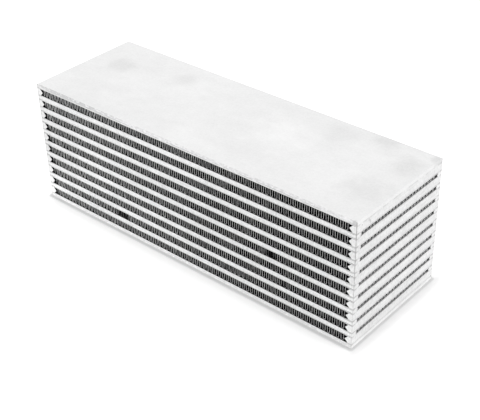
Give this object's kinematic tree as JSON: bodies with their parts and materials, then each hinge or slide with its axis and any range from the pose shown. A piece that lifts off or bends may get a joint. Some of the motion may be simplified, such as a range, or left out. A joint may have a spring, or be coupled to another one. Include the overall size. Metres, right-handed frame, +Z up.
{
  "type": "intercooler core",
  "caption": "Brazed bar-and-plate charge-air cooler core: flat side plates, thin parting sheets, pointed closing bars and folded fins, open at both ends and both faces.",
  "frame": {"origin": "centre of the underside, on the bottom plate", "axes": "+Z up the stack of layers, +X along the length, which the charge air passes through, +Y along the depth, which the cooling air passes through"},
  "size_m": [0.318, 0.104, 0.108],
  "materials": {
    "side_plate": "satin mill finish, faintly cloudy from the brazing furnace",
    "parting_sheet": "sheared edge of clad brazing sheet",
    "closing_bar": "extruded bar, satin",
    "fin_foil": "thin foil, slightly matt"
  },
  "bodies": {
    "root": {"bottom_plate": "side_plate", "parting_sheet_01": "parting_sheet", "parting_sheet_02": "parting_sheet", "parting_sheet_03": "parting_sheet", "parting_sheet_04": "parting_sheet", "parting_sheet_05": "parting_sheet", "parting_sheet_06": "parting_sheet", "parting_sheet_07": "parting_sheet", "parting_sheet_08": "parting_sheet", "parting_sheet_09": "parting_sheet", "parting_sheet_10": "parting_sheet", "parting_sheet_11": "parting_sheet", "parting_sheet_12": "parting_sheet", "parting_sheet_13": "parting_sheet", "parting_sheet_14": "parting_sheet", "parting_sheet_15": "parting_sheet", "parting_sheet_16": "parting_sheet", "parting_sheet_17": "parting_sheet", "parting_sheet_18": "parting_sheet", "parting_sheet_19": "parting_sheet", "parting_sheet_20": "parting_sheet", "air_fins_01": "fin_foil", "end_bars_01": "closing_bar", "air_fins_02": "fin_foil", "end_bars_02": "closing_bar", "air_fins_03": "fin_foil", "end_bars_03": "closing_bar", "air_fins_04": "fin_foil", "end_bars_04": "closing_bar", "air_fins_05": "fin_foil", "end_bars_05": "closing_bar", "air_fins_06": "fin_foil", "end_bars_06": "closing_bar", "air_fins_07": "fin_foil", "end_bars_07": "closing_bar", "air_fins_08": "fin_foil", "end_bars_08": "closing_bar", "air_fins_09": "fin_foil", "end_bars_09": "closing_bar", "air_fins_10": "fin_foil", "end_bars_10": "closing_bar", "charge_fins_01": "fin_foil", "side_bars_01": "closing_bar", "charge_fins_02": "fin_foil", "side_bars_02": "closing_bar", "charge_fins_03": "fin_foil", "side_bars_03": "closing_bar", "charge_fins_04": "fin_foil", "side_bars_04": "closing_bar", "charge_fins_05": "fin_foil", "side_bars_05": "closing_bar", "charge_fins_06": "fin_foil", "side_bars_06": "closing_bar", "charge_fins_07": "fin_foil", "side_bars_07": "closing_bar", "charge_fins_08": "fin_foil", "side_bars_08": "closing_bar", "charge_fins_09": "fin_foil", "side_bars_09": "closing_bar", "top_plate": "side_plate"}
  },
  "joints": []
}
